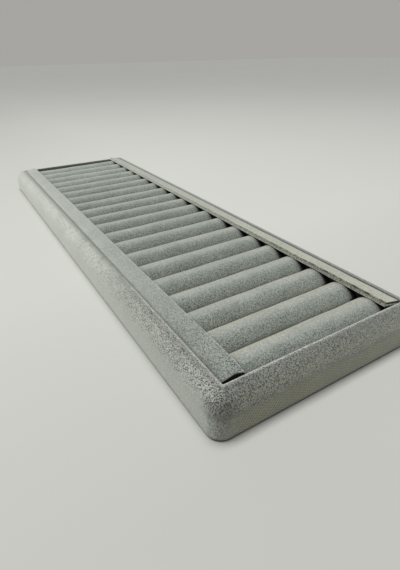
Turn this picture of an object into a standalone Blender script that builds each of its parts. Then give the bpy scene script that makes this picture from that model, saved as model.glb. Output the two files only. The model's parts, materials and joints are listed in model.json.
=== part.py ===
"""A long ring display tray: a velvet-covered wooden tray and a lift-out insert of padded rolls.

Units are metres. X runs along the tray, Y across it and Z up. The origin is under the middle of
the tray, on the surface that it stands on.
"""

from math import copysign, cos, pi, radians, sin, tan

import bmesh
import bpy
from mathutils import Vector

# Overall sizes of the tray. The rim's top leans outward from its inner edge by the crest slope.
TRAY_LENGTH = 0.350
TRAY_WIDTH = 0.110
TRAY_HEIGHT = 0.0175
RIM_WIDTH = 0.0081
WELL_CORNER_RADIUS = 0.0005
OUTER_CORNER_RADIUS = 0.0058
CREST_SLOPE = radians(7)

# Sheet and board thicknesses
VELVET = 0.0005
FELT = 0.0007
BASE_BOARD = 0.0020
INSERT_CARD = 0.0010
STRIP_BOARD = 0.0008

# The gap that is left between pieces that touch
FIT_GAP = 0.0003

# The tray's covering and its frame
FLAP_WIDTH = 0.0065
REBATE_DEPTH = 0.0030

# The insert as a whole, and its row of rolls: as many as fit at the least pitch, spread over the card
INSERT_CLEARANCE = 0.0007
ROLL_LEAST_PITCH = 0.0166
ROLL_END_INSET = 0.0006
ROLL_TOP_DROP = 0.0008
ROLL_FOOT = 0.0090
ROLL_BELLY = 0.0042

# The side strips, which lean on the ends of the rolls with their inner edges up
STRIP_WIDTH = 0.0091
STRIP_TILT = radians(12)
STRIP_CLEARANCE = 0.0004
STRIP_END_GAP = 0.0010
STRIP_EDGE_RADIUS = 0.0007
STRIP_LIP = 0.0025

# Facets along each kind of curve
ROUND_OVER_STEPS = 7
FOLD_STEPS = 3
CORNER_STEPS = 8
DOME_STEPS = 10
BELLY_STEPS = 2
EDGE_STEPS = 2

# Heights of the layers, from the ground up
SKIN = VELVET + FIT_GAP
FRAME_BOTTOM = max(FELT, VELVET) + FIT_GAP
CARD_BOTTOM = FRAME_BOTTOM + BASE_BOARD + FIT_GAP
ROLL_BOTTOM = CARD_BOTTOM + INSERT_CARD + FIT_GAP
ROLL_TOP = TRAY_HEIGHT - ROLL_TOP_DROP
ROLL_HEIGHT = ROLL_TOP - ROLL_BOTTOM

# Plan sizes that follow. A corner's radius grows by this share of the way out across the rim.
CORNER_GROWTH_SHARE = (OUTER_CORNER_RADIUS - WELL_CORNER_RADIUS) / RIM_WIDTH
WELL_LENGTH = TRAY_LENGTH - 2 * RIM_WIDTH
WELL_WIDTH = TRAY_WIDTH - 2 * RIM_WIDTH
INSERT_LENGTH = WELL_LENGTH - 2 * INSERT_CLEARANCE
INSERT_WIDTH = WELL_WIDTH - 2 * INSERT_CLEARANCE
ROLL_COUNT = int(INSERT_LENGTH / ROLL_LEAST_PITCH)
ROLL_PITCH = INSERT_LENGTH / ROLL_COUNT
ROLL_WIDTH = ROLL_PITCH - FIT_GAP
ROLL_LENGTH = INSERT_WIDTH - 2 * ROLL_END_INSET

# The rim's rounding: its centre, its radius over the wood, and the wood's inner edge
WOOD_ROUND = (RIM_WIDTH - 2 * SKIN) / (1 - sin(CREST_SLOPE))
ARRIS = (SKIN, TRAY_HEIGHT - SKIN)
ROUND_CENTRE = (RIM_WIDTH - SKIN - WOOD_ROUND, ARRIS[1] - WOOD_ROUND * cos(CREST_SLOPE))

# A side strip's size over its velvet, and the middle of its section
STRIP_LENGTH = WELL_LENGTH - 2 * STRIP_END_GAP
STRIP_HEIGHT = STRIP_BOARD + 2 * SKIN
STRIP_MIDDLE = (
    WELL_WIDTH / 2 - STRIP_CLEARANCE - (STRIP_WIDTH * cos(STRIP_TILT) + STRIP_HEIGHT * sin(STRIP_TILT)) / 2,
    ROLL_TOP + FIT_GAP - (STRIP_WIDTH * sin(STRIP_TILT) - STRIP_HEIGHT * cos(STRIP_TILT)) / 2,
)
STRIP_INNER_EDGE = STRIP_MIDDLE[0] - (STRIP_WIDTH * cos(STRIP_TILT) + STRIP_HEIGHT * sin(STRIP_TILT)) / 2


def clear_scene():
    """Remove every object, so that the script can run again in the same file."""
    for item in list(bpy.data.objects):
        bpy.data.objects.remove(item)


def new_collection(name):
    """A fresh collection in the scene."""
    old = bpy.data.collections.get(name)
    if old:
        bpy.data.collections.remove(old)
    collection = bpy.data.collections.new(name)
    bpy.context.scene.collection.children.link(collection)
    return collection


def material(name, colour, roughness):
    """A plain material of one colour."""
    mat = bpy.data.materials.get(name) or bpy.data.materials.new(name)
    mat.use_nodes = True
    shader = mat.node_tree.nodes["Principled BSDF"]
    shader.inputs["Base Color"].default_value = (*colour, 1)
    shader.inputs["Roughness"].default_value = roughness
    shader.inputs["Metallic"].default_value = 0
    return mat


def arc(centre, radii, start, end, steps):
    """Points on an elliptical arc, both ends included. Angles are in radians."""
    points = []
    for step in range(steps + 1):
        angle = start + (end - start) * step / steps
        points.append((centre[0] + radii[0] * cos(angle), centre[1] + radii[1] * sin(angle)))
    return points


def new_object(bm, name, mat, collection, location=(0, 0, 0)):
    """Turn a bmesh into a named object with one material. An open surface keeps its own facing."""
    if all(edge.is_manifold for edge in bm.edges):
        bmesh.ops.recalc_face_normals(bm, faces=bm.faces[:])
    mesh = bpy.data.meshes.new(name)
    bm.to_mesh(mesh)
    bm.free()
    mesh.shade_smooth()
    mesh.set_sharp_from_angle(angle=pi / 6)
    mesh.materials.append(mat)
    return place_mesh(mesh, name, collection, location)


def place_mesh(mesh, name, collection, location):
    """A named object that shows a mesh at a place."""
    item = bpy.data.objects.new(name, mesh)
    item.location = location
    collection.objects.link(item)
    return item


def rounded_plate(length, width, thickness, radius, bottom):
    """A flat plate with rounded upright corners, its underside at the given height."""
    bm = bmesh.new()
    bmesh.ops.create_cube(bm, size=1)
    bmesh.ops.scale(bm, vec=(length, width, thickness), verts=bm.verts)
    bmesh.ops.translate(bm, vec=(0, 0, bottom + thickness / 2), verts=bm.verts)
    if radius > 0:
        upright = [edge for edge in bm.edges if abs(edge.verts[0].co.z - edge.verts[1].co.z) > thickness / 2]
        bmesh.ops.bevel(bm, geom=upright, offset=radius, segments=CORNER_STEPS, affect="EDGES", profile=0.5)
    return bm


def swept_ring(section):
    """Carry a section round the well opening: straight along each side, and turned at each corner.

    A section point is (distance out from the well's wall, height). Each corner is swept about one
    centre, and then tightened so that its radius grows more slowly than the way out.
    """
    half_length = WELL_LENGTH / 2 - WELL_CORNER_RADIUS
    half_width = WELL_WIDTH / 2 - WELL_CORNER_RADIUS
    bm = bmesh.new()
    side = half_length + WELL_CORNER_RADIUS
    first = [bm.verts.new((side + out, -half_width, height)) for out, height in section]
    edges = [bm.edges.new((first[i], first[(i + 1) % len(first)])) for i in range(len(first))]
    turns = (
        ((half_length, half_width), (0, 2 * half_width, 0)),
        ((-half_length, half_width), (-2 * half_length, 0, 0)),
        ((-half_length, -half_width), (0, -2 * half_width, 0)),
        ((half_length, -half_width), (2 * half_length, 0, 0)),
    )
    for corner, run in turns:
        moved = bmesh.ops.extrude_edge_only(bm, edges=edges)["geom"]
        bmesh.ops.translate(bm, vec=run, verts=[part for part in moved if isinstance(part, bmesh.types.BMVert)])
        edges = [part for part in moved if isinstance(part, bmesh.types.BMEdge)]
        turned = bmesh.ops.spin(bm, geom=edges, cent=(*corner, 0), axis=(0, 0, 1), angle=pi / 2, steps=CORNER_STEPS)
        edges = [part for part in turned["geom_last"] if isinstance(part, bmesh.types.BMEdge)]
    bmesh.ops.remove_doubles(bm, verts=bm.verts, dist=FIT_GAP / 100)
    for vert in bm.verts:
        spoke = Vector((abs(vert.co.x) - half_length, abs(vert.co.y) - half_width))
        out = spoke.length - WELL_CORNER_RADIUS
        shift = out * (1 - CORNER_GROWTH_SHARE)
        spoke *= (spoke.length - shift) / spoke.length
        vert.co.x = copysign(half_length + shift + spoke.x, vert.co.x)
        vert.co.y = copysign(half_width + shift + spoke.y, vert.co.y)
    return bm


def cover_section():
    """The velvet's section: turned in under the rim, up the outside, over the crest, down the well's wall."""
    hem = RIM_WIDTH - FLAP_WIDTH
    foot = (RIM_WIDTH - SKIN, FRAME_BOTTOM)
    crest = pi / 2 - CREST_SLOPE
    outer_round = WOOD_ROUND + SKIN
    inner_round = WOOD_ROUND + FIT_GAP
    outer = [(hem, FRAME_BOTTOM - SKIN)]
    outer += arc(foot, (SKIN, SKIN), -pi / 2, 0, FOLD_STEPS)
    outer += arc(ROUND_CENTRE, (outer_round, outer_round), 0, crest, ROUND_OVER_STEPS)
    outer += arc(ARRIS, (SKIN, SKIN), crest, pi, FOLD_STEPS)[1:]
    outer += [(0, CARD_BOTTOM)]
    inner = [(VELVET, CARD_BOTTOM)]
    inner += arc(ARRIS, (FIT_GAP, FIT_GAP), pi, crest, FOLD_STEPS)[:-1]
    inner += arc(ROUND_CENTRE, (inner_round, inner_round), crest, 0, ROUND_OVER_STEPS)
    inner += arc(foot, (FIT_GAP, FIT_GAP), 0, -pi / 2, FOLD_STEPS)
    inner += [(hem, FRAME_BOTTOM - FIT_GAP)]
    return outer + inner


def rail_section():
    """The wooden rail's section, one skin inside the velvet, with a rebate for the base board."""
    rebate = SKIN + REBATE_DEPTH
    points = [(rebate, FRAME_BOTTOM), (RIM_WIDTH - SKIN, FRAME_BOTTOM)]
    points += arc(ROUND_CENTRE, (WOOD_ROUND, WOOD_ROUND), 0, pi / 2 - CREST_SLOPE, ROUND_OVER_STEPS)
    points += [(SKIN, CARD_BOTTOM), (rebate, CARD_BOTTOM)]
    return points


def cut_away(bm, point, direction):
    """Cut a mesh by a plane and keep what lies behind it. Gives the edges round the cut."""
    geometry = bm.verts[:] + bm.edges[:] + bm.faces[:]
    cut = bmesh.ops.bisect_plane(bm, geom=geometry, plane_co=point, plane_no=direction, clear_outer=True)
    return [part for part in cut["geom_cut"] if isinstance(part, bmesh.types.BMEdge)]


def rail(name, along, across, mat, collection):
    """One side of the frame, mitred at both ends. along and across are unit directions in plan."""
    along = Vector(along)
    across = Vector(across)
    bm = swept_ring(rail_section())
    cut_away(bm, (0, 0, 0), -across)
    well_corner = Vector((WELL_LENGTH / 2, WELL_WIDTH / 2, 0))
    for side in (1, -1):
        direction = (along * side - across).normalized()
        corner = well_corner * (along * side + across)
        rim = cut_away(bm, corner - direction * FIT_GAP / 2, direction)
        bmesh.ops.edgeloop_fill(bm, edges=rim)
    return new_object(bm, name, mat, collection)


def roll_arch(inset):
    """Half-round section of a roll, from its right foot over the top to its left foot, drawn in by inset."""
    foot = ROLL_FOOT / 2
    half_width = ROLL_WIDTH / 2
    bulge = half_width - foot
    lower = (bulge - inset, ROLL_BELLY)
    dome = (half_width - inset, ROLL_HEIGHT - ROLL_BELLY - inset)
    points = arc((foot, ROLL_BELLY), lower, -pi / 2, 0, BELLY_STEPS)[:-1]
    points += arc((0, ROLL_BELLY), dome, 0, pi, DOME_STEPS)
    points += arc((-foot, ROLL_BELLY), lower, -pi, -pi * 3 / 2, BELLY_STEPS)[1:]
    return points


def roll_stations():
    """Places along a roll and its height there as a share: full between the strips, pressed down under them."""
    end = ROLL_LENGTH / 2
    pressed_share = 1 - (end - STRIP_INNER_EDGE) * tan(STRIP_TILT) / ROLL_HEIGHT
    return [(end, pressed_share), (STRIP_INNER_EDGE, 1), (-STRIP_INNER_EDGE, 1), (-end, pressed_share)]


def swept_roll(section):
    """Extrude a section along a roll, lowered to each station's height."""
    stations = roll_stations()
    place, share = stations[0]
    bm = bmesh.new()
    face = bm.faces.new([bm.verts.new((x, place, z * share)) for x, z in section])
    for next_place, next_share in stations[1:]:
        moved = bmesh.ops.extrude_face_region(bm, geom=[face])["geom"]
        if place != stations[0][0]:
            bmesh.ops.delete(bm, geom=[face], context="FACES_ONLY")
        verts = [part for part in moved if isinstance(part, bmesh.types.BMVert)]
        face = next(part for part in moved if isinstance(part, bmesh.types.BMFace))
        bmesh.ops.scale(bm, vec=(1, 1, next_share / share), verts=verts)
        bmesh.ops.translate(bm, vec=(0, next_place - place, 0), verts=verts)
        place, share = next_place, next_share
    return bm


def build_rolls(velvet, foam, collection):
    """The row of rolls. Each is a foam core under a velvet sleeve that is open underneath."""
    sleeve = new_object(swept_roll(roll_arch(0) + roll_arch(VELVET)[::-1]), "roll_cover_01", velvet, collection)
    core = new_object(swept_roll(roll_arch(SKIN)), "roll_core_01", foam, collection)
    for index in range(ROLL_COUNT):
        place = (ROLL_PITCH * (index - (ROLL_COUNT - 1) / 2), 0, ROLL_BOTTOM)
        if index == 0:
            sleeve.location = place
            core.location = place
        else:
            place_mesh(sleeve.data, f"roll_cover_{index + 1:02d}", collection, place)
            place_mesh(core.data, f"roll_core_{index + 1:02d}", collection, place)


def place_strip(item, side):
    """Lay a piece of a side strip in its place, its inner edge up."""
    item.location = (0, side * STRIP_MIDDLE[0], STRIP_MIDDLE[1])
    item.rotation_euler = (-side * STRIP_TILT, 0, 0)


def build_strip_cover(name, side, mat, collection):
    """Velvet round a side strip: over the top, sides and ends, and turned in underneath as a lip."""
    bm = bmesh.new()
    bmesh.ops.create_cube(bm, size=1)
    bmesh.ops.scale(bm, vec=(STRIP_LENGTH, STRIP_WIDTH, STRIP_HEIGHT), verts=bm.verts)
    under = min(bm.faces, key=lambda face: face.calc_center_median().z)
    bmesh.ops.inset_individual(bm, faces=[under], thickness=STRIP_LIP, use_even_offset=True)
    bmesh.ops.delete(bm, geom=[under], context="FACES")
    item = new_object(bm, name, mat, collection)
    place_strip(item, side)
    rounding = item.modifiers.new("rounding", "BEVEL")
    rounding.width = STRIP_EDGE_RADIUS
    rounding.segments = EDGE_STEPS
    rounding.limit_method = "ANGLE"
    shell = item.modifiers.new("thickness", "SOLIDIFY")
    shell.thickness = VELVET
    shell.offset = -1
    shell.use_even_offset = True


def build_strip_board(name, side, mat, collection):
    """The stiff board inside a side strip."""
    bm = rounded_plate(STRIP_LENGTH - 2 * SKIN, STRIP_WIDTH - 2 * SKIN, STRIP_BOARD, 0, -STRIP_BOARD / 2)
    place_strip(new_object(bm, name, mat, collection), side)


def build_tray(velvet, felt, wood, board, collection):
    """The tray: frame, base board, velvet covering and the felt underneath."""
    rail("front_rail", (1, 0, 0), (0, -1, 0), wood, collection)
    rail("back_rail", (1, 0, 0), (0, 1, 0), wood, collection)
    rail("left_rail", (0, 1, 0), (-1, 0, 0), wood, collection)
    rail("right_rail", (0, 1, 0), (1, 0, 0), wood, collection)
    board_reach = SKIN + REBATE_DEPTH - FIT_GAP
    base = rounded_plate(
        WELL_LENGTH + 2 * board_reach,
        WELL_WIDTH + 2 * board_reach,
        BASE_BOARD,
        WELL_CORNER_RADIUS + board_reach,
        FRAME_BOTTOM,
    )
    new_object(base, "base_board", board, collection)
    new_object(swept_ring(cover_section()), "tray_cover", velvet, collection)
    felt_reach = RIM_WIDTH - FLAP_WIDTH - FIT_GAP
    sheet = rounded_plate(
        WELL_LENGTH + 2 * felt_reach,
        WELL_WIDTH + 2 * felt_reach,
        FELT,
        WELL_CORNER_RADIUS + felt_reach,
        0,
    )
    new_object(sheet, "underside_felt", felt, collection)


def build_insert(velvet, foam, board, collection):
    """The lift-out insert: card, rolls and side strips."""
    card = rounded_plate(INSERT_LENGTH, INSERT_WIDTH, INSERT_CARD, 0, CARD_BOTTOM)
    new_object(card, "insert_card", board, collection)
    build_rolls(velvet, foam, collection)
    for name, side in (("front_strip", -1), ("back_strip", 1)):
        build_strip_board(name + "_board", side, board, collection)
        build_strip_cover(name + "_cover", side, velvet, collection)


def main():
    """Build the whole tray."""
    clear_scene()
    collection = new_collection("ring_display_tray")
    velvet = material("velvet", (0.30, 0.33, 0.29), 0.9)
    felt = material("felt", (0.09, 0.09, 0.09), 0.95)
    wood = material("fibreboard", (0.42, 0.29, 0.18), 0.8)
    board = material("greyboard", (0.36, 0.34, 0.31), 0.85)
    foam = material("foam", (0.78, 0.77, 0.72), 0.9)
    build_tray(velvet, felt, wood, board, collection)
    build_insert(velvet, foam, board, collection)


main()
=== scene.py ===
"""The looks of a long display tray: a velvet-covered tray, and a lift-out insert of padded rolls.

Units are metres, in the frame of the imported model: X runs along the tray, with its near end at +X, Y runs
across it, with its front side at -Y, and Z is up.
"""

import json
from functools import partial
from math import cos, pi, sin

import bmesh
import bpy
from mathutils import Matrix, Vector, noise


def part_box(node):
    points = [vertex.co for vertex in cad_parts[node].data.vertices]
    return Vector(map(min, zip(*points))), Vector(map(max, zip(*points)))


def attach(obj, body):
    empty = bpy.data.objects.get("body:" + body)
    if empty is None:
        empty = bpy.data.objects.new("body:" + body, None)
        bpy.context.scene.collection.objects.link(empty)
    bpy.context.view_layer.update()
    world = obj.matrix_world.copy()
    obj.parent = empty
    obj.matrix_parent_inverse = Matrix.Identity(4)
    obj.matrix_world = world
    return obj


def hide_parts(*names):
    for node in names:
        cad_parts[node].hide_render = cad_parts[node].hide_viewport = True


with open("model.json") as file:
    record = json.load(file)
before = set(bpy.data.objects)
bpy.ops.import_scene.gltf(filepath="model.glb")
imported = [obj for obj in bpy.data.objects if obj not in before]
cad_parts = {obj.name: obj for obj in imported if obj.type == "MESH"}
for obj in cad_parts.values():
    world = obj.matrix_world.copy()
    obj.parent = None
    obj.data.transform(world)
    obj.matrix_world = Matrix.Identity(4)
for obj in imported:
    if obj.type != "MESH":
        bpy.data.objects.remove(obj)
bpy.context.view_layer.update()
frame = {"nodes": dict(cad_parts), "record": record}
boxes = {name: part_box(name) for name in frame["nodes"]}

MILLIMETRE = 0.001

# The angle past which an edge is shaded sharp, and the skew that keeps a ripple's seed off the diagonal
SHARP_ANGLE = pi / 3
SEED_SKEW = 0.37

# The camera, fitted to the tray's edges in the photograph. Its focal length is in the photograph's pixels,
# and the sensor's size lies along the photograph's longer side, its height.
CAMERA_PLACE = (0.2463, -0.1024, 0.1121)
CAMERA_TURN = 1.03221
CAMERA_TILT = 1.04184
CAMERA_ROLL = -0.01839
FOCAL_PIXELS = 397.5
PHOTO_HEIGHT_PIXELS = 570
SENSOR_SIZE = 36.0
CLIP_START = 0.005

# The lights: a long soft lamp overhead, a wide soft sun that keeps the floor even, and the surround
LAMP_SIZE = (0.30, 0.95)
LAMP_PLACE = (-0.02, -0.20, 1.0)
LAMP_POWER = 5.6
LAMP_COLOUR = (1.0, 0.985, 0.96)
SUN_STRENGTH = 1.25
SUN_SPREAD = 0.8
SUN_LEAN = 0.16
SURROUND_COLOUR = (0.96, 0.98, 1.0, 1)
SURROUND_STRENGTH = 0.22
BACKGROUND_COLOUR = (0.385, 0.380, 0.358, 1)

# The floor. Each fade is painted shade and light: where it starts and ends along its axis, and its two
# levels.
FLOOR_SIZE = 12.0
FLOOR_CLOUD_SIZE = 0.25
FLOOR_COLOURS = ((0.57, 0.58, 0.55, 1), (0.60, 0.61, 0.58, 1))
FLOOR_ROUGHNESS = 0.75
FLOOR_FADE_ALONG = (0.04, 0.19, 1.02, 0.885)
FLOOR_FADE_ACROSS = (-0.04, 0.09, 1.0, 1.07)

# The velvet's marks where nothing is said. Tone is a level, hue runs from -1, greener, to 1, beige, and the
# others run from 0 to 1. Tone carries painted shade and light, and on the rolls hue does too.
PLAIN_MARKS = {"tone": 1.0, "hue": 0.0, "speck": 0.1, "twill": 0.0, "stroke": 0.0}

# The velvet's pile. A spread is the part of a noise's range that a mark takes up, levels add the darkest and
# the lightest level that it gives, and an onset is where a painted mark starts to show and is full.
PILE_COLOURS = ((0.315, 0.336, 0.306, 1), (0.378, 0.392, 0.359, 1))
BEIGE_TINT = (1.11, 1.0, 0.61, 1)
GREEN_TINT = (0.90, 1.0, 0.96, 1)
CLOUD_SIZE = 0.016
CLOUD_SPREAD = (0.34, 0.66)
GRAIN_SIZE = 0.00032
GRAIN_LEVELS = (0.3, 0.7, 0.74, 1.24)
FIBRE_SIZE = 0.00025
FIBRE_LEVELS = (0, 1, 0.74, 1.24)
CLUMP_SIZE = 0.0009
CLUMP_LEVELS = (0.34, 0.66, 0.82, 1.16)
SPECK_SIZE = 0.00050
SPECK_SPREAD = (0.57, 0.64)
SPECK_ONSET = (0, 0.4)
SPECK_BREAKUP = 0.7
SPECK_GROWTH = 0.07
SPECK_DEPTH = 0.86
FLECK_SIZE = 0.00044
FLECK_TURN = (0.7, 0.4, 0.2)
FLECK_SPREAD = (0.58, 0.68)
FLECK_ONSET = (0.1, 0.8)
FLECK_LIFT = 0.14
TWILL_PERIOD = 0.00098
TWILL_ACROSS = (0.85, 0.85, -0.5)
TWILL_SPREAD = (0.35, 0.65)
TWILL_BREAKS = (0.5, 0.5, 0.9)
TWILL_BREAK_LEVELS = (0.2, 0.8, 0.15, 1)
TWILL_WAVER = 0.0003
TWILL_WAVER_SIZE = 0.003
TWILL_DEPTH = 0.95
STROKE_SIZE = 0.0010
STROKE_SCALE = (1, 0.25, 0.25)
STROKE_SPREAD = (0.54, 0.62)
STROKE_DEPTH = 0.24
PILE_ROUGHNESS = 0.95
PILE_GLOSS = 0.15
PILE_SHEEN = 0.9
# Faces painted darker than the deep tone are painted deep shade, and take a shaded copy of the velvet with
# this little sheen
DEEP_SHEEN = 0.06
DEEP_TONE = 0.30
SHEEN_ROUGHNESS = 0.58
SHEEN_TINT = (0.93, 0.96, 0.90, 1)
TUFT_SIZES = (0.0004, 0.0009)
TUFT_STRENGTH = 0.45
PILE_BUMP = 0.00012

# The bare boards and the felt: two ground tones, the fibres' tone, and how rough, coarse and deep they are
FIBREBOARD = {
    "pale": (0.36, 0.25, 0.155, 1), "dark": (0.27, 0.18, 0.11, 1), "fibre": (0.47, 0.35, 0.23, 1),
    "rough": 0.85, "grain_size": 0.0006, "bump_depth": 0.00008,
}
GREYBOARD = {
    "pale": (0.36, 0.345, 0.315, 1), "dark": (0.29, 0.28, 0.255, 1), "fibre": (0.45, 0.43, 0.39, 1),
    "rough": 0.9, "grain_size": 0.0008, "bump_depth": 0.00005,
}
FELT = {
    "pale": (0.035, 0.036, 0.036, 1), "dark": (0.020, 0.021, 0.021, 1), "fibre": (0.085, 0.087, 0.085, 1),
    "rough": 0.98, "grain_size": 0.0005, "bump_depth": 0.0002,
}

# How their blotches and two crossing sets of threads break up the tones. A way is a scale and a turn.
BLOTCH_SIZE = 0.012
BLOTCH_SPREAD = (0.35, 0.65)
THREAD_WAYS = (((1, 0.3, 1), (0, 0, 0.4)), ((0.3, 1, 1), (0, 0, 0.3)))
THREAD_BREAKUP = 0.65
THREAD_SPREAD = (0.22, 0.36)
THREAD_GLOSS_SPREAD = (0.2, 0.4)
THREAD_GLOSS = 0.08
THREAD_STRENGTH = 0.6

# The foam
FOAM_COLOURS = ((0.66, 0.64, 0.55, 1), (0.78, 0.76, 0.68, 1))
FOAM_BLOTCH_SIZE = 0.01
FOAM_BLOTCH_SPREAD = (0.3, 0.7)
PORE_COLOUR = (0.32, 0.30, 0.25, 1)
PORE_SIZE = 0.0007
PORE_SPREAD = (0.15, 0.5)
PORE_STRENGTH = 0.7
PORE_DEPTH = 0.0003
FOAM_ROUGHNESS = 0.9

# Cloth and gaps
VELVET = 0.0005
FIT_GAP = 0.0003

# The tray's covering. A corner's radius grows by the growth share of the way out across the rim. Waves are
# layers of ripple, each with its size, its depth and its seed.
RIM_WIDTH = 0.0081
WELL_CORNER_RADIUS = 0.0005
OUTER_CORNER_RADIUS = 0.0058
CORNER_GROWTH_SHARE = (OUTER_CORNER_RADIUS - WELL_CORNER_RADIUS) / RIM_WIDTH
CREST_SLOPE = 0.122
CREST_RADIUS = 0.00045
CREST_RISE = 0.00012
FOLD_RADIUS = 0.0008
HEM_WIDTH = 0.0065
SIDE_STEP = 0.0025
CORNER_STEPS = 20
ROUND_STEPS = 22
WALL_STEPS = 8
HEM_STEPS = 3
FOLD_STEPS = 4
CREST_STEPS = 8
LINING_STEPS = 5
INNER_STEPS = 8
COVERING_WAVES = ((0.022, 0.00010, 3.1), (0.007, 0.00005, 8.4))
COVERING_WAVE_HEIGHT = (0.0015, 0.005)

# Where the marks on the covering lie: each pair is where a mark is absent and where it is full. Heights go up
# from the floor, depths down from the top, and outs away from the well's wall. The first pair is how much
# further a place lies past the well's end than past its side, and the second how far it lies past both.
END_OVER_SIDE = (-0.004, 0.004)
CORNER_BEYOND = (-0.005, 0.004)
NEAR_X = (-0.04, 0.16)
NEAREST_X = (0.05, 0.11)
END_DIM_Y = (-0.045, 0.020)
BAND_WAVES = ((0.006, 0.003, 1.7),)
UPPER_HEIGHT = (0.0080, 0.0120)
SHOULDER_HEIGHT = (0.0115, 0.0150)
RIDGE_HEIGHT = (0.0140, 0.0165)
RIBS_HEIGHT = (0.0120, 0.0085)
FOOT_HEIGHT = (0.0013, 0.0007)
CREST_DEPTH = (0.0006, 0.0001)
CREST_OUT = (0.0012, 0.0006)
LINING_DEPTH = (0.0001, 0.0005)
LINING_OUT = (0.0003, 0.00005)
FAR_LINING_Y = (-0.03, 0.04)
PATCH_FOOT_HEIGHT = (0.0075, 0.0105)
PATCH_TOP_HEIGHT = (0.0165, 0.0140)
GLOW_FOOT_HEIGHT = (0.0122, 0.0152)
GLOW_TOP_HEIGHT = (0.0174, 0.0169)
GLOW_X = (0.09, 0.02)
FRONT_LOW_HEIGHT = (0.0125, 0.0105)
FRONT_TOP_HEIGHT = (0.0165, 0.0171)
BACK_DIM_OUT = (0.0060, 0.0020)
SIDE_SPECK_X = (0.04, 0.150)
STROKE_FAR_X = (-0.10, 0.02)
STROKE_NEAR_X = (0.120, 0.06)

# How strong the marks on the covering are, most of them painted shade and light. A dim is the share of the
# tone that a mark takes away, and a glow, a painted highlight, is the share that it adds. A gain is added to
# the tone itself, and a loss is taken off it.
# Painted shade and sheen: the sides lighter than the ends and darker towards their near end, with a little
# painted highlight on the near shoulder, and the ends a little darker at the top and towards the back
SIDE_TONE = 1.15
SIDE_NEAR_LOSS = 0.17
SIDE_SHOULDER_GAIN = 0.04
END_TONE = 0.60
END_UPPER_LOSS = 0.03
END_DIM = 0.07
# A painted highlight along the front side's shoulder, stronger towards the far end
GLOW = 0.08
FAR_GLOW = 0.30
# Painted shade on the front side, low down, and under its crest at the near end
FRONT_LOW_DIM = 0.08
FRONT_TOP_DIM = 0.20
# The crest painted as a light line on the ends, and on the front side towards its near end, with the rest of
# the front crest darker than its wall
END_CREST_TONE = 1.34
SIDE_CREST_TONE = 0.66
SIDE_CREST_GAIN = 0.44
# Painted shade on the back side's crest and along its rim, by the back strip
BACK_CREST_DIM = 0.30
BACK_DIM = 0.30
BACK_NEAR_DIM = 0.07
# Painted shade down the well's inner walls, deepest at the far end and towards its front
LINING_DIM = 0.30
FAR_LINING_DIM = 0.42
FAR_LINING_EASE = 0.26
# A painted contact shadow at the foot of the covering, a little deeper on the ends
FOOT_DIM = 0.85
END_FOOT_DIM = 0.1
PATCH_DIM = 0.45
SIDE_SPECK = 0.05
END_SPECK = 0.15
SPECK_GAIN = 0.75
CORNER_SPECK = 0.5
# The crest's painted light line is mostly clear of specks
CREST_SPECK_DIM = 0.8
SIDE_HUE = 0.03
UPPER_GREEN = 0.64
RIDGE_GREEN = 0.30
CORNER_GREEN = 0.6
BACK_GREEN = 0.6
# The painted shade down the well's walls is greener
LINING_GREEN = 0.6

# Each roll's drift from its even place, at its back and front end, in the order of the rolls
BACK_DRIFT_MM = (
    -0.4, -1.2, -1.0, -1.4, -2.0, -2.0, -2.2, -2.0, -1.8, -2.0,
    -2.6, -2.4, -2.0, -0.8, -0.2, -0.1, 0.7, 0.5, 0.5, 0.1,
)
FRONT_DRIFT_MM = (
    2.0, 1.0, 0.4, 0.6, -0.1, -1.0, -1.2, -0.2, -1.0, -1.0,
    -1.6, -0.7, -0.3, 0.4, 1.4, 2.2, 2.6, 2.2, 1.3, 0.5,
)

# The rolls' own shape
ROLL_GAP = 0.00012
ROLL_TOP_LIFT = 0.0002
ROLL_BELLY = 0.0042
ROLL_FOOT_SHARE = 0.55
ROLL_FOOT_STEPS = 5
ROLL_STATIONS = 56
ROLL_AROUND = 34
ROLL_END_HEIGHT_SHARE = 0.52
ROLL_END_WIDTH_SHARE = 0.86
ROLL_WAVES = ((0.016, 0.00022, 0), (0.006, 0.00007, 5))
ROLL_WAVES_FOOT = 0.002
ROLL_WAVES_FULL = 0.006
FIRST_ROLL_SEED = 11.3
ROLL_SEED_STEP = 2.7

# The cloth simulation that lets each sleeve settle: it runs enlarged, and only a part of its shift is kept
SLACK_SCALE = 20.0
SLACK_FRAMES = 20
SLACK_PRESSURE = 4.0
SLACK_SHRINK = -0.03
SLACK_SHARE = 0.4
SLACK_CAPS = (0.00008, 0.0002, 0.0002)

# The marks on the rolls. Turned runs from -1, the far foot, over the top to 1, the near foot, past is the way
# beyond the strips' inner edges, and a drop is the way down from a roll's top, less a rise on the far rolls.
NEAR_HALF_TURNED = (-0.10, 0.70)
BEIGE_TURNED = (0.1, -0.4)
GREEN_TURNED = (-0.1, 0.4)
TUCK_PAST = (-0.003, 0.0018)
TUCK_EASE_PAST = (0.0025, 0.0055)
GROOVE_PAST = (0.004, 0.001)
GROOVE_DROPS = (0.0030, 0.0072)
GROOVE_AWAY_RISES = (0.0012, 0.0024)
ROLL_AWAY_X = (0.12, -0.10)
ROLL_FAR_X = (-0.04, -0.16)
MIDDLE_FAR_X = (-0.06, 0.02)
MIDDLE_NEAR_X = (0.14, 0.08)
# Painted shade and light: a roll's near half darker, more so in the middle of the tray, and the far rolls
# lighter
ROLL_TONE = 1.04
NEAR_HALF_LOSS = 0.31
MIDDLE_LOSS = 0.06
FAR_ROLL_GAIN = 0.20
# Painted shade where the rolls tuck under the strips, and down in the grooves between them
TUCK_DIM = 0.93
TUCK_EASE = 0.6
GROOVE_DIM = 0.88
END_GROOVE_SHARE = 0.4
# Painted light in the hue: beige on a roll's lit top and far half, greener on its shaded near half
ROLL_BEIGE = 0.28
ROLL_GREEN = 0.8
ROLL_SPECK = 0.10
NEAR_HALF_SPECK = 0.30

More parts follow.
